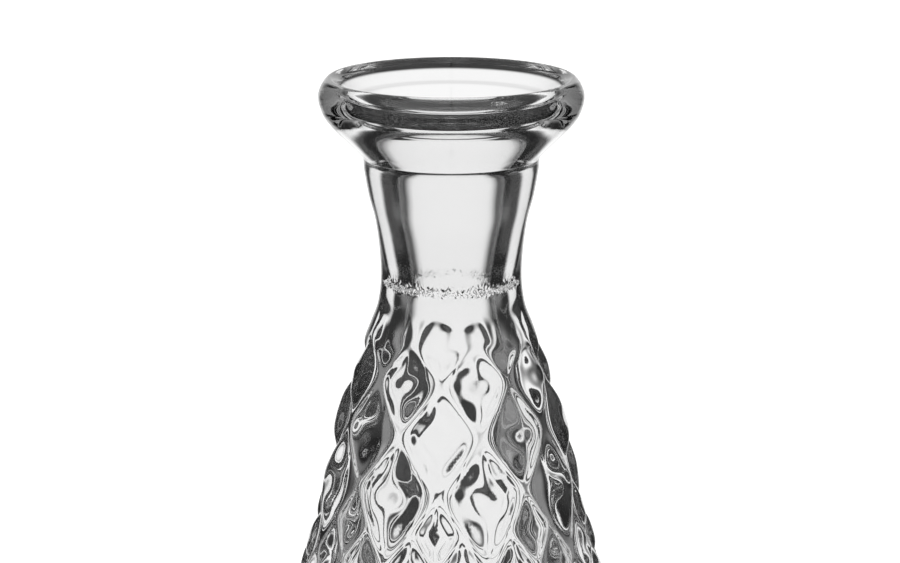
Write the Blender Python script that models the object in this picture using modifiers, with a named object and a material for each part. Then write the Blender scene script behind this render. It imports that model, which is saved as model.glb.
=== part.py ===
"""Cut crystal decanter with a ground-in stopper.

The vessel is one piece of thick lead crystal: a rounded lip over a wide funnel mouth, a waisted
neck whose bore is ground to a taper for the stopper, and a conical body cut all over with pillow
diamonds, large at the shoulder and half that size below. The stopper is a second piece of
crystal, a ground plug under a cut ball, and it stands beside the open vessel.

Units are metres, +Z is up, and the origin is the centre of the vessel's flat underside.
"""

import math

import bmesh
import bpy
from mathutils import Matrix

MM = 0.001

# Vessel, in millimetres
HEIGHT = 240.0
FLOOR_HEIGHT = 16.0
BASE_RADIUS = 40.0
SOCKET_TOP = 219.6
SOCKET_FOOT = 188.9
SOCKET_TOP_RADIUS = 14.2
SOCKET_FOOT_RADIUS = 10.0

# Diamond cutting
COLUMNS_OF_DIAMONDS = 8
FIRST_COLUMN_TURN = math.radians(-6.5)
SHOULDER_LEVELS = (178.0, 167.2, 154.6, 140.6, 122.8)
FIRST_SMALL_ROW = 4
NEVER_SMALL = 9
SMALL_ROWS = 10
SMALL_ROW_PER_RADIUS = 0.23
GROOVE_PER_PITCH = 0.105
PILLOW_POWER = 1.8

# Stopper, in millimetres
STOPPER_X = 100.0
STOPPER_Y = -12.0
PLUG_LENGTH = 28.0
PLUG_END_RADIUS = 10.1
PLUG_CHAMFER = 1.0
HEAD_LEVELS = (69.5, 62.5, 54.5, 46.5, 40.5)
STOPPER_HEIGHT = 74.6

MESH_COLUMNS = 4 * COLUMNS_OF_DIAMONDS
TAPER = (SOCKET_TOP_RADIUS - SOCKET_FOOT_RADIUS) / (SOCKET_TOP - SOCKET_FOOT)

# Outlines as (radius, height) in millimetres. These run from top to bottom down the outside, apart from
# CAVITY and MOUTH, which run from bottom to top up the inside.
LIP = [(30.5, HEIGHT), (32.8, 236.5), (32.4, 232.5), (30.0, 228.5), (23.0, 221.3)]
NECK = [(21.9, 219.6), (21.7, 217.0), (20.5, 210.3), (18.9, 204.2), (17.9, 196.5), (17.6, 189.5), (18.4, 183.0)]
BODY = [(20.2, 178.0), (25.3, 165.2), (29.0, 153.9), (32.5, 140.0), (36.2, 124.6), (40.1, 107.0), (45.0, 86.0),
        (49.4, 64.0), (51.8, 44.0), (51.4, 31.0), (49.6, 20.0)]
HEEL = [(46.6, 10.5), (43.0, 3.4), (41.6, 0.9)]
CAVITY = [(0.0, FLOOR_HEIGHT), (22.0, FLOOR_HEIGHT), (34.0, 18.5), (41.5, 26.5), (44.6, 40.0), (43.2, 60.0),
          (38.6, 84.0), (33.0, 107.0), (28.2, 124.6), (23.8, 140.0), (19.3, 153.9), (15.2, 167.0), (12.1, 178.0),
          (10.9, 185.8)]
MOUTH = [(14.6, 219.8), (15.2, 222.6), (22.0, 232.0), (26.0, 235.2), (27.8, 238.6)]
STOPPER_CROWN = [(0.0, STOPPER_HEIGHT), (8.0, 73.0), (14.6, 69.5)]
STOPPER_HEAD = [(14.6, 69.5), (20.9, 62.5), (22.9, 54.5), (19.3, 46.5), (13.2, 40.5)]
STOPPER_NECK = [(9.6, 37.2), (8.6, 34.2), (10.6, 31.2)]


def clear_scene():
    for obj in list(bpy.data.objects):
        bpy.data.objects.remove(obj, do_unlink=True)


def smooth(points, steps):
    """A Catmull-Rom curve through the points, with this many steps to each span."""
    first = [2 * a - b for a, b in zip(points[0], points[1])]
    last = [2 * a - b for a, b in zip(points[-1], points[-2])]
    guides = [first, *points, last]
    curve = [points[0]]
    for before, start, end, after in zip(guides, guides[1:], guides[2:], guides[3:]):
        for step in range(1, steps + 1):
            t = step / steps
            curve.append(tuple(
                0.5 * (2 * b + (c - a) * t + (2 * a - 5 * b + 4 * c - d) * t**2 + (3 * b - a - 3 * c + d) * t**3)
                for a, b, c, d in zip(before, start, end, after)
            ))
    return curve


def radius_at(outline, height):
    """The radius of an outline that falls steadily, at one height."""
    for (r0, z0), (r1, z1) in zip(outline, outline[1:]):
        if z1 <= height <= z0:
            return r0 + (r1 - r0) * (z0 - height) / (z0 - z1)
    return outline[0][0] if height > outline[0][1] else outline[-1][0]


def body_levels(outline):
    """Heights of the rows of groove crossings as (row, height): whole rows are large, half rows small."""
    levels = [(float(row), height) for row, height in enumerate(SHOULDER_LEVELS)]
    for _ in range(SMALL_ROWS):
        row, height = levels[-1]
        levels.append((row + 0.5, height - SMALL_ROW_PER_RADIUS * radius_at(outline, height)))
    return levels


def row_at(levels, height):
    for (row0, z0), (row1, z1) in zip(levels, levels[1:]):
        if z1 <= height <= z0:
            return row0 + (row1 - row0) * (z0 - height) / (z0 - z1)
    return levels[0][0] if height > levels[0][1] else levels[-1][0]


def ease(t):
    t = min(max(t, 0.0), 1.0)
    return t * t * (3 - 2 * t)


def pillow(across, along):
    """Height of a pillow from its grooves at 0 to its middle at 1, for a place in units of its cell."""
    humps = [0.5 + 0.5 * math.cos(math.pi * abs(2 * (place % 1.0) - 1) ** PILLOW_POWER) for place in (across, along)]
    return humps[0] * humps[1]


def diamond_radius(radius, angle, row, first_small_row, last_row):
    """The cut surface's radius, where radius is that of the uncut one. Rows from first_small_row on are half size."""
    column = angle * COLUMNS_OF_DIAMONDS / math.pi
    across, along = (column + row - 1) / 2, (column - row + 1) / 2
    large = math.floor(across + 1e-6) - math.floor(along + 1e-6) + 1 < first_small_row
    groove = GROOVE_PER_PITCH * 2 * math.pi * radius / COLUMNS_OF_DIAMONDS
    floor_depth = groove * (1 - 0.5 * ease((row - first_small_row + 1) / 1.5))
    height = groove * pillow(across, along) if large else 0.5 * groove * pillow(2 * across, 2 * along)
    fade = ease(1.2 * row) * ease(last_row - row)
    return radius + fade * (height - floor_depth)


def refine(levels, steps):
    """The levels with more rows between each two of them."""
    fine = [levels[0]]
    for (row0, z0), (row1, z1) in zip(levels, levels[1:]):
        count = max(1, round(steps * (row1 - row0)))
        fine += [(row0 + (row1 - row0) * i / count, z0 + (z1 - z0) * i / count) for i in range(1, count + 1)]
    return fine


def glass(name, tint, roughness):
    material = bpy.data.materials.new(name)
    material.use_nodes = True
    shader = material.node_tree.nodes["Principled BSDF"]
    shader.inputs["Base Color"].default_value = (*tint, 1.0)
    shader.inputs["Roughness"].default_value = roughness
    shader.inputs["Metallic"].default_value = 0.0
    shader.inputs["IOR"].default_value = 1.545
    shader.inputs["Transmission Weight"].default_value = 1.0
    return material


def turned(name, outline, material, collection):
    """A piece turned round the z axis from a whole outline, which starts and ends on the axis."""
    guide = bpy.data.meshes.new(name + "_outline")
    guide.from_pydata([(r * MM, 0.0, z * MM) for r, z in outline],
                      [(i, i + 1) for i in range(len(outline) - 1)], [])
    piece = bpy.data.objects.new(name, guide)
    collection.objects.link(piece)
    screw = piece.modifiers.new("turn", "SCREW")
    screw.steps = screw.render_steps = MESH_COLUMNS
    screw.use_merge_vertices = True
    screw.merge_threshold = 0.00001
    screw.use_smooth_shade = True
    bpy.context.view_layer.update()
    body = bpy.data.meshes.new_from_object(piece.evaluated_get(bpy.context.evaluated_depsgraph_get()))
    piece.modifiers.clear()
    piece.data = body
    body.name = name
    body.materials.append(material)
    bpy.data.meshes.remove(guide)
    return piece


def cut_diamonds(piece, outline, levels, first_small_row, inner_radius_at):
    """Presses the diamond grooves into the outside and folds each face along its groove."""
    top, foot = levels[0][1], levels[-1][1]
    last_row = levels[-1][0]
    mesh = bmesh.new()
    mesh.from_mesh(piece.data)
    on_groove = {}
    for vertex in mesh.verts:
        radius, height = math.hypot(vertex.co.x, vertex.co.y) / MM, vertex.co.z / MM
        if not foot - 0.01 <= height <= top + 0.01 or radius < inner_radius_at(height):
            continue
        angle = math.atan2(vertex.co.y, vertex.co.x)
        row = row_at(levels, height)
        scale = diamond_radius(radius_at(outline, height), angle, row, first_small_row, last_row) / radius
        vertex.co.x *= scale
        vertex.co.y *= scale
        on_groove[vertex] = (round(angle * MESH_COLUMNS / (2 * math.pi)) + round(2 * row)) % 2 == 0
    for face in [face for face in mesh.faces if len(face.verts) == 4]:
        corners = [vertex for vertex in face.verts if on_groove.get(vertex)]
        if len(corners) == 2 and all(vertex in on_groove for vertex in face.verts):
            bmesh.utils.face_split(face, *corners)
    bmesh.ops.rotate(mesh, verts=mesh.verts, matrix=Matrix.Rotation(FIRST_COLUMN_TURN, 3, "Z"))
    mesh.to_mesh(piece.data)
    mesh.free()
    piece.data.shade_smooth()
    piece.data.set_sharp_from_angle(angle=math.radians(28))


def make_vessel(material, collection):
    body = smooth(BODY, 4)
    levels = body_levels(body)
    rows = [(radius_at(body, height), height) for _, height in refine(levels, 2)]
    heel = smooth([rows[-1], *HEEL], 2)
    outside = [*smooth(LIP, 2), *smooth(NECK, 2), *rows, *heel[1:], (BASE_RADIUS, 0.0), (0.0, 0.0)]
    socket = [(SOCKET_FOOT_RADIUS, SOCKET_FOOT), (SOCKET_TOP_RADIUS, SOCKET_TOP)]
    inside = [*smooth(CAVITY, 2), *socket, *smooth(MOUTH, 2)]
    vessel = turned("vessel", inside + outside, material, collection)
    cavity = CAVITY[::-1]
    cut_diamonds(vessel, body, levels, FIRST_SMALL_ROW, lambda height: 0.5 * (radius_at(cavity, height) + radius_at(body, height)))
    return vessel


def make_stopper(material, collection):
    head = smooth(STOPPER_HEAD, 4)
    levels = [(float(row), height) for row, height in enumerate(HEAD_LEVELS)]
    rows = [(radius_at(head, height), height) for _, height in refine(levels, 2)]
    crown = smooth(STOPPER_CROWN, 3)
    plug_top = PLUG_END_RADIUS + TAPER * (PLUG_LENGTH - PLUG_CHAMFER)
    plug = [(plug_top, PLUG_LENGTH), (PLUG_END_RADIUS, PLUG_CHAMFER), (PLUG_END_RADIUS - PLUG_CHAMFER, 0.0)]
    outline = [*crown[:-1], *rows, *smooth(STOPPER_NECK, 2), *plug, (0.0, 0.0)]
    stopper = turned("stopper", outline, material, collection)
    cut_diamonds(stopper, head, levels, NEVER_SMALL, lambda height: 0.0)
    stopper.location = (STOPPER_X * MM, STOPPER_Y * MM, 0.0)
    return stopper


def main():
    clear_scene()
    collection = bpy.data.collections.new("cut_crystal_decanter")
    bpy.context.scene.collection.children.link(collection)
    make_vessel(glass("cut_lead_crystal", (0.98, 0.99, 0.99), 0.02), collection)
    make_stopper(glass("stopper_lead_crystal", (0.96, 0.97, 0.98), 0.05), collection)


main()
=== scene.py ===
"""Cut crystal decanter with its ground-in stopper: the fine surfaces, finishes, light and camera.

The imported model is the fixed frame. Both pieces are turned from an outline and cut by one Geometry
Nodes tree, which wraps a sheet round the axis and presses the diamond grooves into it. Run as a
script, the file builds everything. The sidebar panel lists the same steps one by one.
"""

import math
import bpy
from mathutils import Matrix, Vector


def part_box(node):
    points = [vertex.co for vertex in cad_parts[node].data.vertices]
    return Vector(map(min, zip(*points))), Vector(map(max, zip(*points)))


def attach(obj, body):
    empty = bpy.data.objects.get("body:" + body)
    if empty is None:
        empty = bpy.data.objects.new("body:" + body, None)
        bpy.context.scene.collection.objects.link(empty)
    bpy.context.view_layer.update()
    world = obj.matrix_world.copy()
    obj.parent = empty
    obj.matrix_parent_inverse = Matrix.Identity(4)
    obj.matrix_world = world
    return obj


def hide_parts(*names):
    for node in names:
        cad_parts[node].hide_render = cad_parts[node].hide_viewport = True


bl_info = {
    "name": "Cut Crystal Decanter",
    "version": (1, 0, 0),
    "blender": (4, 5, 0),
    "location": "View3D > Sidebar > Decanter",
    "description": "Builds a cut crystal decanter, its ground stopper and a bright-field studio",
    "category": "Add Mesh",
}

import bpy
from bpy.props import FloatProperty, FloatVectorProperty, IntProperty, PointerProperty
from bpy.types import Operator, Panel, PropertyGroup
from mathutils import Matrix

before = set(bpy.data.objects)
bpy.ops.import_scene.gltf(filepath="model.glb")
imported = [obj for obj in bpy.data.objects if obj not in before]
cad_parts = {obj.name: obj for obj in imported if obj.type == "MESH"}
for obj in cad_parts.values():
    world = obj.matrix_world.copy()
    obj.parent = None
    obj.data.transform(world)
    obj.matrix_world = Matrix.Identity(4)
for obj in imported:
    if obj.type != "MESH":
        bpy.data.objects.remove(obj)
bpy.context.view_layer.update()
STOPPER_LOW, STOPPER_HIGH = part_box("stopper")

MM = 0.001
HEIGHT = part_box("vessel")[1].z / MM
BASE_RADIUS = 40.0
STOPPER_X = (STOPPER_LOW.x + STOPPER_HIGH.x) / 2
STOPPER_Y = (STOPPER_LOW.y + STOPPER_HIGH.y) / 2
STOPPER_HEIGHT = STOPPER_HIGH.z / MM

# The bore is ground to a taper between these, as (radius, height) in millimetres
SOCKET_TOP = (14.2, 219.6)
SOCKET_FOOT = (10.0, 188.9)
PLUG_LENGTH = 28.0
PLUG_END = (10.1, 1.0)
PLUG_CHAMFER = 1.0

# Outlines as (radius, height) in millimetres, each run from top to bottom down the outside
LIP = [(30.5, HEIGHT), (32.8, 236.5), (32.4, 232.5), (30.0, 228.5), (23.0, 221.3)]
NECK = [(21.9, 219.6), (21.7, 217.0), (20.5, 210.3), (18.9, 204.2), (17.9, 196.5), (17.6, 189.5),
        (18.4, 183.0)]
BODY = [(20.2, 178.0), (25.3, 165.2), (29.0, 153.9), (32.5, 140.0), (36.2, 124.6), (40.1, 107.0),
        (45.0, 86.0), (49.4, 64.0), (51.8, 44.0), (51.4, 31.0), (49.6, 20.0)]
HEEL = [(46.6, 10.5), (43.0, 3.4), (41.6, 0.9)]
# These run the other way, from bottom to top up the inside
CAVITY = [(0.0, 16.0), (22.0, 16.0), (34.0, 18.5), (41.5, 26.5), (44.6, 40.0), (43.2, 60.0),
          (38.6, 84.0), (33.0, 107.0), (28.2, 124.6), (23.8, 140.0), (19.3, 153.9), (15.2, 167.0),
          (12.1, 178.0), (10.9, 185.8)]
MOUTH = [(14.6, 219.8), (15.2, 222.6), (22.0, 232.0), (26.0, 235.2), (27.8, 238.6)]
STOPPER_CROWN = [(0.0, STOPPER_HEIGHT), (8.0, 73.0), (14.6, 69.5)]
STOPPER_HEAD = [(14.6, 69.5), (20.9, 62.5), (22.9, 54.5), (19.3, 46.5), (13.2, 40.5)]
STOPPER_NECK = [(9.6, 37.2), (8.6, 34.2), (10.6, 31.2)]

# Heights of the rows of groove crossings, in millimetres, counted from 0 at the top. The vessel's diamonds
# are half as large from its small row down, and the stopper has none that are small.
SHOULDER_LEVELS = (178.0, 167.2, 154.6, 140.6, 122.8)
HEAD_LEVELS = (69.5, 62.5, 54.5, 46.5, 40.5)
SHOULDER_SMALL_FROM = 4.0
NEVER_SMALL = 9.0
SMALL_ROWS = 10
FADE_PER_ROW = 1.2

# The bore's edge under the taper is left chipped by the grinding, as (radius, height, share of the chip size)
CHIPPED_EDGE = [(10.84, 186.4, 0.0), (10.8, 186.8, 0.5), (10.7, 187.1, 1.0), (10.55, 187.4, 1.0),
                (10.35, 187.7, 1.0), (10.15, 188.0, 1.0), (10.0, 188.3, 1.0), (10.0, 188.6, 0.8),
                (10.02, 189.0, 0.5), (10.07, 189.6, 0.3), (10.14, 190.3, 0.0)]

# How finely the glass is meshed
SIDES = 256
ROW_STEPS = 16
MERGE_DISTANCE = 1e-6

# Ground glass lies inside this radius only, between the ends of the taper
GROUND_RADIUS = 15.2
GROUND_EDGE = 0.4
GRINDING_DEPTH = 0.05

# Studio, in metres. The softboxes are far off, and each spans so many degrees across and up.
CAMERA_X = -0.00033
FLOOR_RADIUS = 9.0
FLOOR_DROP = 0.3 * MM
FLOOR_GLOW = 0.8
ROOM_GLOW = 0.02
RIG_RADIUS = 25.0
PANEL_COLUMNS = 96
PANEL_ROWS = 48
MOST_BOUNCES = 24
GLOSSY_BOUNCES = 12


def linear(hex_colour):
    """A colour written as sRGB hex, as linear values with full alpha."""
    parts = [int(hex_colour[i:i + 2], 16) / 255 for i in (1, 3, 5)]
    return (*(c / 12.92 if c <= 0.04045 else ((c + 0.055) / 1.055) ** 2.4 for c in parts), 1.0)


class DecanterCut(PropertyGroup):
    """Sizes of the turning and cutting."""

    columns: IntProperty(name="Diamonds Around", description="Large diamonds in one row", default=8, min=3)
    first_column: FloatProperty(
        name="First Column", description="Turn of the first column of crossings",
        default=math.radians(-6.5), subtype="ANGLE", unit="ROTATION")
    groove_per_pitch: FloatProperty(
        name="Groove Depth", description="Depth of a groove as a share of a diamond's width", default=0.105)
    pillow_power: FloatProperty(
        name="Pillow Power", description="More makes the diamonds flatter and the grooves narrower",
        default=1.8)
    small_row: FloatProperty(
        name="Small Row", description="Drop of a row of small diamonds as a share of the radius",
        default=0.23)
    chip_size: FloatProperty(
        name="Chip Size", description="Size of the chips that grinding left on the bore's edge",
        default=0.0003, subtype="DISTANCE", unit="LENGTH", precision=5)


class DecanterGlass(PropertyGroup):
    """Colours and finish of the crystal."""

    clear_colour: FloatVectorProperty(
        name="Crystal", description="Tint of the polished crystal", subtype="COLOR", size=4,
        default=linear("#fefefe"))
    ior: FloatProperty(name="IOR", description="Refractive index of the crystal", default=1.545)
    ground_roughness: FloatProperty(
        name="Ground Roughness", description="How matt the ground taper is", default=0.11,
        subtype="FACTOR")
    line_spacing: FloatProperty(
        name="Grinding Lines", description="Spacing of the lines left by grinding", default=0.0003,
        subtype="DISTANCE", unit="LENGTH", precision=5)


class DecanterStudio(PropertyGroup):
    """Camera, floor and light."""

    focal_length: FloatProperty(
        name="Focal Length", description="The camera's lens", default=140.8, unit="CAMERA")
    distance: FloatProperty(
        name="Distance", description="From the lens to the point it is aimed at", default=0.88,
        subtype="DISTANCE", unit="LENGTH")
    aim_height: FloatProperty(
        name="Aim Height", description="Height of the point on the axis that the camera is aimed at",
        default=0.1882, subtype="DISTANCE", unit="LENGTH")
    tilt: FloatProperty(
        name="Tilt", description="How far the camera looks down", default=math.radians(13.0),
        subtype="ANGLE", unit="ROTATION")
    floor_colour: FloatVectorProperty(
        name="Floor", description="Colour of the pale floor", subtype="COLOR", size=4,
        default=linear("#f6f6f5"))
    back_brightness: FloatProperty(
        name="Back Panel", description="Brightness of the panel behind", default=1.0)
    top_brightness: FloatProperty(
        name="Top Panel", description="Brightness of the panel above", default=0.6)
    side_brightness: FloatProperty(
        name="Side Panels", description="Brightness of the side panels", default=0.22)
    front_brightness: FloatProperty(
        name="Front Panel", description="Brightness of the front panel", default=0.3)


def add(tree, kind, links=None, **settings):
    """Adds a node. settings are its properties, and links hold an output or a plain value for each socket."""
    node = tree.nodes.new(kind)
    for name, value in settings.items():
        setattr(node, name, value)
    for socket, source in (links or {}).items():
        if isinstance(source, bpy.types.NodeSocket):
            tree.links.new(source, node.inputs[socket])
        else:
            node.inputs[socket].default_value = source
    return node


def show(obj):
    bpy.context.scene.collection.objects.link(obj)
    return obj


# Outlines

def smooth(points, steps):
    """A Catmull-Rom curve through the points, with this many steps to each span."""
    first = [2 * a - b for a, b in zip(points[0], points[1])]
    last = [2 * a - b for a, b in zip(points[-1], points[-2])]
    guides = [first, *points, last]
    curve = [points[0]]
    for before, start, end, after in zip(guides, guides[1:], guides[2:], guides[3:]):
        for step in range(1, steps + 1):
            t = step / steps
            curve.append(tuple(
                0.5 * (2 * b + (c - a) * t
                       + (2 * a - 5 * b + 4 * c - d) * t**2
                       + (3 * b - a - 3 * c + d) * t**3)
                for a, b, c, d in zip(before, start, end, after)
            ))
    return curve


def straight(start, end, steps):
    return [tuple(a + (b - a) * i / steps for a, b in zip(start, end)) for i in range(steps + 1)]


def radius_at(outline, height):
    """The radius, at one height, of an outline that falls steadily."""
    for (r0, z0), (r1, z1) in zip(outline, outline[1:]):
        if z1 <= height <= z0:
            return r0 + (r1 - r0) * (z0 - height) / (z0 - z1)
    return outline[0][0] if height > outline[0][1] else outline[-1][0]


def uncut(points):
    """Points of an outline that no groove crosses, as (radius, height, row, share of the chip size)."""
    return [(radius, height, -1.0, 0.0) for radius, height in points]


def cut_rows(outline, levels):
    """The part of an outline from the first to the last (row, height) level, with fine rows between."""
    rows = [levels[0]]
    for (row0, z0), (row1, z1) in zip(levels, levels[1:]):
        count = round(ROW_STEPS * (row1 - row0))
        rows += straight((row0, z0), (row1, z1), count)[1:]
    return [(radius_at(outline, height), height, row, 0.0) for row, height in rows]


def vessel_outline(small_row):
    """The vessel's outline, from the middle of the floor inside, over the lip, to the middle underneath."""
    body = smooth(BODY, 12)
    levels = [(float(row), height) for row, height in enumerate(SHOULDER_LEVELS)]
    for _ in range(SMALL_ROWS):
        row, height = levels[-1]
        levels.append((row + 0.5, height - small_row * radius_at(body, height)))
    cut = cut_rows(body, levels)
    inside = smooth(CAVITY, 4)
    edge = [(radius, height, -1.0, chipped) for radius, height, chipped in CHIPPED_EDGE]
    socket = straight(CHIPPED_EDGE[-1][:2], SOCKET_TOP, 12)[1:]
    lip = smooth([*MOUTH, *LIP, *NECK, BODY[0]], 5)
    heel = smooth([cut[-1][:2], *HEEL], 5)
    base = straight((BASE_RADIUS, 0.0), (0.0, 0.0), 3)
    return uncut(inside) + edge + uncut(socket + lip[:-1]) + cut + uncut(heel[1:] + base)


def stopper_outline():
    """The stopper's whole outline, from its crown to the middle of the plug's end."""
    head = smooth(STOPPER_HEAD, 12)
    cut = cut_rows(head, [(float(row), height) for row, height in enumerate(HEAD_LEVELS)])
    taper = (SOCKET_TOP[0] - SOCKET_FOOT[0]) / (SOCKET_TOP[1] - SOCKET_FOOT[1])
    plug_top = (PLUG_END[0] + taper * (PLUG_LENGTH - PLUG_END[1]), PLUG_LENGTH)
    neck = smooth([STOPPER_HEAD[-1], *STOPPER_NECK], 5)
    plug = straight(plug_top, PLUG_END, 12)
    end = straight((PLUG_END[0] - PLUG_CHAMFER, 0.0), (0.0, 0.0), 3)
    return uncut(smooth(STOPPER_CROWN, 6)[:-1]) + cut + uncut(neck[1:] + plug + end)


# Turning and cutting

# Sums on the fields of the sheet, each as (name, operation, terms), in the order that they are made
UNROLL_SUMS = (
    ("corners round", "ADD", "Sides", 1.0),
    ("middle of index", "ADD", "index", 0.5),
    ("whole sides", "DIVIDE", "middle of index", "points"),
    ("side", "FLOOR", "whole sides"),
    ("earlier points", "MULTIPLY", "side", "points"),
    ("point", "SUBTRACT", "index", "earlier points"),
)
CUT_SUMS = (
    # Place in turns round the axis, and in crossings, of which there are two to a diamond
    ("turn", "DIVIDE", "side", "Sides"),
    ("crossings", "MULTIPLY", "Columns", 2.0),
    ("column", "MULTIPLY", "turn", "crossings"),
    ("sum", "ADD", "column", "row"),
    ("difference", "SUBTRACT", "column", "row"),
    ("across", "MULTIPLY_ADD", "sum", 0.5, -0.5),
    ("along", "MULTIPLY_ADD", "difference", 0.5, 0.5),
    # Which diamond this is, counted down from the shoulder
    ("near across", "ADD", "across", 1e-4),
    ("near along", "ADD", "along", 1e-4),
    ("diamond across", "FLOOR", "near across"),
    ("diamond along", "FLOOR", "near along"),
    ("diamond row", "SUBTRACT", "diamond across", "diamond along"),
    ("small from", "SUBTRACT", "First Small Row", 1.5),
    ("small", "GREATER_THAN", "diamond row", "small from"),
    ("per diamond", "ADD", "small", 1.0),
    # A pillow falls from its middle to round-bottomed grooves as half a wave of a cosine, and a small one is
    # half as high
    ("fine across", "MULTIPLY", "across", "per diamond"),
    ("fine along", "MULTIPLY", "along", "per diamond"),
    ("part across", "FRACT", "fine across"),
    ("part along", "FRACT", "fine along"),
    ("off across", "MULTIPLY_ADD", "part across", 2.0, -1.0),
    ("off along", "MULTIPLY_ADD", "part along", 2.0, -1.0),
    ("away across", "ABSOLUTE", "off across"),
    ("away along", "ABSOLUTE", "off along"),
    ("fall across", "POWER", "away across", "Pillow Power"),
    ("fall along", "POWER", "away along", "Pillow Power"),
    ("wave across", "MULTIPLY", "fall across", math.pi),
    ("wave along", "MULTIPLY", "fall along", math.pi),
    ("swing across", "COSINE", "wave across"),
    ("swing along", "COSINE", "wave along"),
    ("hump across", "MULTIPLY_ADD", "swing across", 0.5, 0.5),
    ("hump along", "MULTIPLY_ADD", "swing along", 0.5, 0.5),
    ("full pillow", "MULTIPLY", "hump across", "hump along"),
    ("pillow", "DIVIDE", "full pillow", "per diamond"),
    ("rise", "SUBTRACT", "pillow", "groove"),
    ("depth", "MULTIPLY", "reach", "Groove per Pitch"),
    ("change", "MULTIPLY", "rise", "depth"),
    ("cut radius", "ADD", "radius", "change"),
    # Chips stand in and out by a random share of their size, the same at both ends of the wrapped sheet
    ("wrapped side", "MODULO", "side", "Sides"),
    ("chip number", "MULTIPLY_ADD", "height", 1e7, "wrapped side"),
    ("chip", "MULTIPLY", "chipped", "Chip Size"),
    ("angle", "MULTIPLY_ADD", "turn", 2 * math.pi, "First Column"),
    ("cosine", "COSINE", "angle"),
    ("sine", "SINE", "angle"),
    # Faces are folded along the diagonal that lies on a groove, which alternates from one face to the next
    ("step round", "DIVIDE", "side", "Side Steps"),
    ("whole step round", "FLOOR", "step round"),
    ("step down", "MULTIPLY_ADD", "row", 2.0, 16.0002),
    ("whole step down", "FLOOR", "step down"),
    ("steps", "ADD", "whole step round", "whole step down"),
    ("half steps", "MULTIPLY", "steps", 0.5),
    ("left over", "FRACT", "half steps"),
    ("odd", "GREATER_THAN", "left over", 0.25),
    ("even", "SUBTRACT", 1.0, "odd"),
)
CHIP_SUMS = (
    ("chip in", "MULTIPLY", "chip", "random in"),
    ("chip up", "MULTIPLY", "chip", "random up"),
    ("chipped radius", "ADD", "cut radius", "chip in"),
    ("chipped height", "ADD", "height", "chip up"),
    ("x", "MULTIPLY", "chipped radius", "cosine"),
    ("y", "MULTIPLY", "chipped radius", "sine"),
)


def work_out(tree, kind, steps, fields):
    """Adds a node of this kind for each step, and makes it a field. A term is a number or a field's name."""
    for name, operation, *terms in steps:
        links = {place: fields.get(term, term) for place, term in enumerate(terms)}
        fields[name] = add(tree, kind, links, operation=operation).outputs[0]


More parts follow.
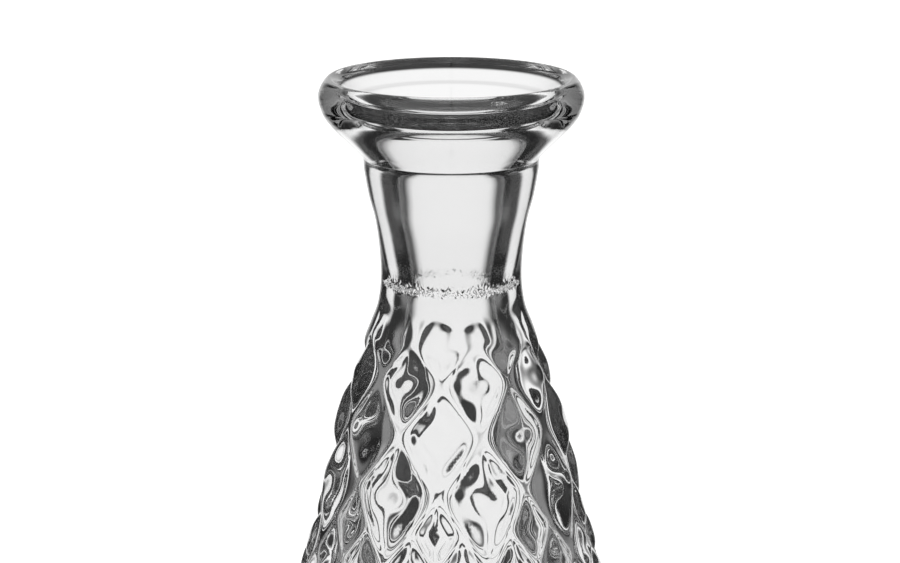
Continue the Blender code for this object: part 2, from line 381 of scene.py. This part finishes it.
def cutting_tree():
    """Wraps a sheet round the axis along an outline, and presses grooves in between pillow diamonds."""
    tree = bpy.data.node_groups.new("Turn and cut", "GeometryNodeTree")
    tree.interface.new_socket("Outline", in_out="INPUT", socket_type="NodeSocketGeometry")
    for label, kind in (("Sides", "Int"), ("Side Steps", "Int"), ("Columns", "Int"),
                        ("First Small Row", "Float"), ("First Column", "Float"),
                        ("Groove per Pitch", "Float"), ("Pillow Power", "Float"),
                        ("Chip Size", "Float"), ("Finish", "Material")):
        tree.interface.new_socket(label, in_out="INPUT", socket_type="NodeSocket" + kind)
    tree.interface.new_socket("Glass", in_out="OUTPUT", socket_type="NodeSocketGeometry")
    given = tree.nodes.new("NodeGroupInput").outputs
    fields = {socket.name: socket for socket in given if socket.name}

    # A flat sheet with a corner for each side and each point of the outline
    size = add(tree, "GeometryNodeAttributeDomainSize", {"Geometry": given["Outline"]})
    fields["points"] = size.outputs["Point Count"]
    fields["index"] = add(tree, "GeometryNodeInputIndex").outputs[0]
    work_out(tree, "ShaderNodeMath", UNROLL_SUMS, fields)
    grid = add(tree, "GeometryNodeMeshGrid",
               {"Vertices X": fields["corners round"], "Vertices Y": fields["points"]})
    sheet = add(tree, "GeometryNodeCaptureAttribute", {"Geometry": grid.outputs["Mesh"]}, domain="POINT")
    sheet.capture_items.new("FLOAT", "side")
    tree.links.new(fields["side"], sheet.inputs["side"])
    for label in ("radius", "height", "row", "reach", "groove", "chipped"):
        read = add(tree, "GeometryNodeInputNamedAttribute", {"Name": label}, data_type="FLOAT")
        sample = add(tree, "GeometryNodeSampleIndex",
                     {"Geometry": given["Outline"], "Value": read.outputs[0], "Index": fields["point"]},
                     data_type="FLOAT")
        sheet.capture_items.new("FLOAT", label)
        tree.links.new(sample.outputs[0], sheet.inputs[label])
    fields.update({socket.name: socket for socket in sheet.outputs if socket.name != "Geometry"})
    work_out(tree, "ShaderNodeMath", CUT_SUMS, fields)
    for seed, name in enumerate(("random in", "random up")):
        random = add(tree, "FunctionNodeRandomValue",
                     {"Min": -1.0, "Max": 1.0, "ID": fields["chip number"], "Seed": seed},
                     data_type="FLOAT")
        fields[name] = random.outputs["Value"]
    work_out(tree, "ShaderNodeMath", CHIP_SUMS, fields)

    one_way = add(tree, "GeometryNodeTriangulate",
                  {"Mesh": sheet.outputs["Geometry"], "Selection": fields["odd"]},
                  quad_method="FIXED_ALTERNATE")
    folded = add(tree, "GeometryNodeTriangulate",
                 {"Mesh": one_way.outputs[0], "Selection": fields["even"]}, quad_method="FIXED")
    place = add(tree, "ShaderNodeCombineXYZ",
                {"X": fields["x"], "Y": fields["y"], "Z": fields["chipped height"]})
    wrapped = add(tree, "GeometryNodeSetPosition",
                  {"Geometry": folded.outputs[0], "Position": place.outputs[0]})
    closed = add(tree, "GeometryNodeMergeByDistance",
                 {"Geometry": wrapped.outputs[0], "Distance": MERGE_DISTANCE})
    outwards = add(tree, "GeometryNodeFlipFaces", {"Mesh": closed.outputs[0]})
    shaded = add(tree, "GeometryNodeSetShadeSmooth", {"Geometry": outwards.outputs[0], "Shade Smooth": True})
    real = add(tree, "GeometryNodeRealizeInstances", {"Geometry": shaded.outputs[0]})
    finished = add(tree, "GeometryNodeSetMaterial",
                   {"Geometry": real.outputs[0], "Material": given["Finish"]})
    add(tree, "NodeGroupOutput", {"Glass": finished.outputs[0]})
    return tree


def ease(t):
    t = min(max(t, 0.0), 1.0)
    return t * t * (3 - 2 * t)


def turn_and_cut(name, outline, small_from, place, finish):
    """One piece of crystal, as an object at the origin. Its outline is as uncut() and cut_rows() give it."""
    cut = bpy.context.scene.decanter_cut
    last_row = max(row for _, _, row, _ in outline)
    guide_mesh = bpy.data.meshes.new(name + "_outline")
    guide_mesh.from_pydata([(r * MM, 0.0, z * MM) for r, z, _, _ in outline],
                           [(i, i + 1) for i in range(len(outline) - 1)], [])
    fields = {
        "radius": [r * MM for r, _, _, _ in outline],
        "height": [z * MM for _, z, _, _ in outline],
        "row": [row for _, _, row, _ in outline],
        "chipped": [chipped for _, _, _, chipped in outline],
        # A groove's depth goes by a diamond's width, and fades out at both ends of the cutting
        "reach": [2 * math.pi * r * MM / cut.columns * ease(FADE_PER_ROW * row) * ease(last_row - row)
                  for r, _, row, _ in outline],
        # The grooves' floor comes up to half its depth where the small diamonds start
        "groove": [1.0 - 0.5 * ease((row - small_from + 1.0) / 1.5) for _, _, row, _ in outline],
    }
    for label, values in fields.items():
        guide_mesh.attributes.new(label, "FLOAT", "POINT").data.foreach_set("value", values)
    guide = show(bpy.data.objects.new(name + "_outline", guide_mesh))
    modifier = guide.modifiers.new("turn and cut", "NODES")
    modifier.node_group = cutting_tree()
    values = {"Sides": SIDES, "Side Steps": SIDES // (4 * cut.columns), "Columns": cut.columns,
              "First Small Row": small_from, "First Column": cut.first_column,
              "Groove per Pitch": cut.groove_per_pitch, "Pillow Power": cut.pillow_power,
              "Chip Size": cut.chip_size, "Finish": finish}
    for item in modifier.node_group.interface.items_tree:
        if item.name in values:
            modifier[item.identifier] = values[item.name]
    bpy.context.view_layer.update()
    mesh = bpy.data.meshes.new_from_object(guide.evaluated_get(bpy.context.evaluated_depsgraph_get()))
    guide.modifiers.clear()
    bpy.data.objects.remove(guide)
    mesh.name = name
    mesh.transform(Matrix.Translation(place))
    if not mesh.polygons:
        raise RuntimeError(f"the tree made no faces for {name}")
    return show(bpy.data.objects.new(name, mesh))


# Finishes

def new_material(name):
    material = bpy.data.materials.new(name)
    material.use_nodes = True
    material.node_tree.nodes.clear()
    return material, material.node_tree


def crystal(name, ground_from, ground_to, axis):
    """Lead crystal, cut and then polished in acid, so that its grooves are as bright as its faces.

    Its refractive index bends light more than window glass does, which gives the eye hard black and
    white shapes. The taper was ground against its stopper, which leaves it slightly matt, with fine
    level lines. ground_from and ground_to are the taper's heights, in metres, and axis is its middle.
    """
    glass = bpy.context.scene.decanter_glass
    material, tree = new_material(name)
    place = add(tree, "ShaderNodeTexCoord").outputs["Object"]
    centred = add(tree, "ShaderNodeMapping",
                  {"Vector": place, "Location": (-axis[0], -axis[1], 0.0)}).outputs[0]
    height = add(tree, "ShaderNodeSeparateXYZ", {0: centred}).outputs["Z"]
    level = add(tree, "ShaderNodeMapping", {"Vector": centred, "Scale": (1.0, 1.0, 0.0)}).outputs[0]
    radius = add(tree, "ShaderNodeVectorMath", {0: level}, operation="LENGTH").outputs["Value"]
    edge = GROUND_EDGE * MM
    above = add(tree, "ShaderNodeMapRange",
                {"Value": height, "From Min": ground_from - edge, "From Max": ground_from})
    below = add(tree, "ShaderNodeMapRange",
                {"Value": height, "From Min": ground_to + edge, "From Max": ground_to})
    within = add(tree, "ShaderNodeMath", {0: GROUND_RADIUS * MM, 1: radius}, operation="GREATER_THAN")
    band = add(tree, "ShaderNodeMath", {0: above.outputs[0], 1: below.outputs[0]}, operation="MULTIPLY")
    both = add(tree, "ShaderNodeMath", {0: band.outputs[0], 1: within.outputs[0]}, operation="MULTIPLY")
    ground = both.outputs[0]
    matt = add(tree, "ShaderNodeMath", {0: ground, 1: glass.ground_roughness}, operation="MULTIPLY")
    # Grinding lines are real size. They run round the piece, so the pattern hardly changes sideways.
    squeezed = add(tree, "ShaderNodeMapping",
                   {"Vector": centred, "Scale": (20.0, 20.0, 0.5 / glass.line_spacing)})
    lines = add(tree, "ShaderNodeTexNoise", {"Vector": squeezed.outputs[0], "Scale": 1.0, "Detail": 3.0})
    cut_in = add(tree, "ShaderNodeMath", {0: lines.outputs["Fac"], 1: ground}, operation="MULTIPLY")
    bump = add(tree, "ShaderNodeBump",
               {"Height": cut_in.outputs[0], "Strength": 0.35, "Distance": GRINDING_DEPTH * MM})
    surface = add(tree, "ShaderNodeBsdfGlass", {"Color": glass.clear_colour, "Roughness": matt.outputs[0],
                                                "IOR": glass.ior, "Normal": bump.outputs[0]})
    add(tree, "ShaderNodeOutputMaterial", {"Surface": surface.outputs[0]})
    return material


# Studio

def panel_light():
    """A softbox's cloth front. It glows where its mesh says so, and is clear beyond its soft edges."""
    material, tree = new_material("softbox_cloth")
    glow = add(tree, "ShaderNodeAttribute", attribute_name="glow", attribute_type="GEOMETRY").outputs["Fac"]
    clear = add(tree, "ShaderNodeBsdfTransparent")
    emission = add(tree, "ShaderNodeEmission", {"Strength": 1.0})
    dimmed = add(tree, "ShaderNodeMixShader", {0: glow, 1: clear.outputs[0], 2: emission.outputs[0]})
    add(tree, "ShaderNodeOutputMaterial", {"Surface": dimmed.outputs[0]})
    return material


def softbox(name, rig, across, up, edges, brightness, cloth):
    """A glowing panel, curved round the glass, that spans across and up, in degrees as seen from the glass.

    edges are how far its glow fades in, from its sides, its foot and its top.
    """
    points, glow = [], []
    for i in range(PANEL_COLUMNS + 1):
        turn = across[0] + (across[1] - across[0]) * i / PANEL_COLUMNS
        for j in range(PANEL_ROWS + 1):
            rise = up[0] + (up[1] - up[0]) * j / PANEL_ROWS
            level = RIG_RADIUS * math.cos(math.radians(rise))
            points.append((level * math.sin(math.radians(turn)),
                           level * math.cos(math.radians(turn)),
                           RIG_RADIUS * math.sin(math.radians(rise))))
            sideways = ease(min(turn - across[0], across[1] - turn) / edges[0])
            upright = ease((rise - up[0]) / edges[1]) * ease((up[1] - rise) / edges[2])
            glow.append(brightness * sideways * upright)
    rows = PANEL_ROWS + 1
    corners = [i * rows + j for i in range(PANEL_COLUMNS) for j in range(PANEL_ROWS)]
    mesh = bpy.data.meshes.new(name)
    mesh.from_pydata(points, [], [(c, c + rows, c + rows + 1, c + 1) for c in corners])
    mesh.attributes.new("glow", "FLOAT", "POINT").data.foreach_set("value", glow)
    mesh.materials.append(cloth)
    panel = show(bpy.data.objects.new(name, mesh))
    panel.parent = rig
    panel.visible_camera = False
    panel.visible_shadow = False


def add_camera(studio):
    data = bpy.data.cameras.new("camera")
    data.lens = studio.focal_length
    data.sensor_width = 36.0
    data.clip_start = 0.01
    data.clip_end = 200.0
    camera = show(bpy.data.objects.new("camera", data))
    camera.location = (CAMERA_X, -studio.distance * math.cos(studio.tilt),
                       studio.aim_height + studio.distance * math.sin(studio.tilt))
    camera.rotation_euler = (math.pi / 2 - studio.tilt, 0.0, 0.0)
    bpy.context.scene.camera = camera
    return camera


def add_floor(studio):
    """A plain pale floor. The glass neither reflects it nor shows it, so that the crystal keeps its darks."""
    turns = [math.radians(degrees) for degrees in range(0, 360, 5)]
    points = [(FLOOR_RADIUS * math.cos(turn), FLOOR_RADIUS * math.sin(turn), -FLOOR_DROP) for turn in turns]
    mesh = bpy.data.meshes.new("floor")
    mesh.from_pydata(points, [], [tuple(range(len(points)))])
    material, tree = new_material("matt_pale_board")
    matt = add(tree, "ShaderNodeBsdfDiffuse", {"Color": studio.floor_colour})
    glow = add(tree, "ShaderNodeEmission", {"Color": studio.floor_colour, "Strength": FLOOR_GLOW})
    both = add(tree, "ShaderNodeAddShader", {0: matt.outputs[0], 1: glow.outputs[0]})
    add(tree, "ShaderNodeOutputMaterial", {"Surface": both.outputs[0]})
    mesh.materials.append(material)
    floor = show(bpy.data.objects.new("floor", mesh))
    floor.visible_transmission = False
    floor.visible_glossy = False


def add_world():
    """White behind everything for the camera, and nearly dark for the glass, which is lit by the panels."""
    world = bpy.data.worlds.new("studio")
    world.use_nodes = True
    tree = world.node_tree
    tree.nodes.clear()
    seen = add(tree, "ShaderNodeLightPath").outputs["Is Camera Ray"]
    dark = add(tree, "ShaderNodeBackground", {"Strength": ROOM_GLOW, "Color": linear("#ffffff")})
    pale = add(tree, "ShaderNodeBackground", {"Strength": 1.0, "Color": linear("#ffffff")})
    mixed = add(tree, "ShaderNodeMixShader", {0: seen, 1: dark.outputs[0], 2: pale.outputs[0]})
    add(tree, "ShaderNodeOutputWorld", {"Surface": mixed.outputs[0]})
    bpy.context.scene.world = world


class DECANTER_OT_studio(Operator):
    """Sets up the camera, the pale floor and the softboxes"""

    bl_idname = "decanter.studio"
    bl_label = "Studio"

    def execute(self, context):
        studio = context.scene.decanter_studio
        camera = add_camera(studio)
        add_floor(studio)
        add_world()
        # The softboxes are carried round with the camera, so that every view has its light behind the glass
        rig = show(bpy.data.objects.new("softbox_rig", None))
        context.view_layer.update()
        rig.parent = camera
        rig.matrix_world = Matrix.Translation((0.0, 0.0, studio.aim_height))
        cloth = panel_light()
        softbox("back_softbox", rig, (-31, 31), (-34, 46), (15, 9, 12), studio.back_brightness, cloth)
        softbox("top_softbox", rig, (-180, 180), (14, 89), (1, 34, 1), studio.top_brightness, cloth)
        for side in (-90, 90):
            softbox(f"side_softbox_{side + 180}", rig, (side - 45, side + 45), (-18, 50), (20, 16, 24),
                    studio.side_brightness, cloth)
        softbox("front_softbox", rig, (115, 245), (-5, 60), (16, 12, 12), studio.front_brightness, cloth)
        scene = context.scene
        scene.view_settings.view_transform = "Standard"
        # Light crosses many cut faces before it leaves a piece
        scene.cycles.max_bounces = MOST_BOUNCES
        scene.cycles.transmission_bounces = MOST_BOUNCES
        scene.cycles.glossy_bounces = GLOSSY_BOUNCES
        scene.cycles.transparent_max_bounces = MOST_BOUNCES
        return {"FINISHED"}


class DECANTER_OT_vessel(Operator):
    """Turns and cuts the crystal vessel"""

    bl_idname = "decanter.vessel"
    bl_label = "Vessel"

    def execute(self, context):
        finish = crystal("cut_lead_crystal", SOCKET_FOOT[1] * MM, SOCKET_TOP[1] * MM, (0.0, 0.0))
        outline = vessel_outline(context.scene.decanter_cut.small_row)
        vessel = turn_and_cut("vessel_crystal", outline, SHOULDER_SMALL_FROM, (0.0, 0.0, 0.0), finish)
        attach(vessel, "vessel")
        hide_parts("vessel")
        return {"FINISHED"}


class DECANTER_OT_stopper(Operator):
    """Turns and cuts the crystal stopper"""

    bl_idname = "decanter.stopper"
    bl_label = "Stopper"

    def execute(self, context):
        axis = (STOPPER_X, STOPPER_Y)
        finish = crystal("ground_stopper_crystal", 0.0, PLUG_LENGTH * MM, axis)
        stopper = turn_and_cut("stopper_crystal", stopper_outline(), NEVER_SMALL, (*axis, 0.0), finish)
        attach(stopper, "stopper")
        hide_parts("stopper")
        return {"FINISHED"}


class DECANTER_PT_sidebar(Panel):
    """Lists the decanter's steps and sizes"""

    bl_idname = "DECANTER_PT_sidebar"
    bl_label = "Cut Crystal Decanter"
    bl_space_type = "VIEW_3D"
    bl_region_type = "UI"
    bl_category = "Decanter"

    def draw(self, context):
        scene = context.scene
        for group in (scene.decanter_cut, scene.decanter_glass, scene.decanter_studio):
            box = self.layout.box()
            for name in group.__annotations__:
                box.prop(group, name)
        for operator in (DECANTER_OT_vessel, DECANTER_OT_stopper, DECANTER_OT_studio):
            self.layout.operator(operator.bl_idname)


CLASSES = (DecanterCut, DecanterGlass, DecanterStudio, DECANTER_OT_vessel, DECANTER_OT_stopper,
           DECANTER_OT_studio, DECANTER_PT_sidebar)


def register():
    for cls in CLASSES:
        bpy.utils.register_class(cls)
    bpy.types.Scene.decanter_cut = PointerProperty(type=DecanterCut)
    bpy.types.Scene.decanter_glass = PointerProperty(type=DecanterGlass)
    bpy.types.Scene.decanter_studio = PointerProperty(type=DecanterStudio)


def unregister():
    del bpy.types.Scene.decanter_studio
    del bpy.types.Scene.decanter_glass
    del bpy.types.Scene.decanter_cut
    for cls in reversed(CLASSES):
        bpy.utils.unregister_class(cls)


def main():
    register()
    bpy.ops.decanter.vessel()
    bpy.ops.decanter.stopper()
    bpy.ops.decanter.studio()


if __name__ == "__main__":
    main()
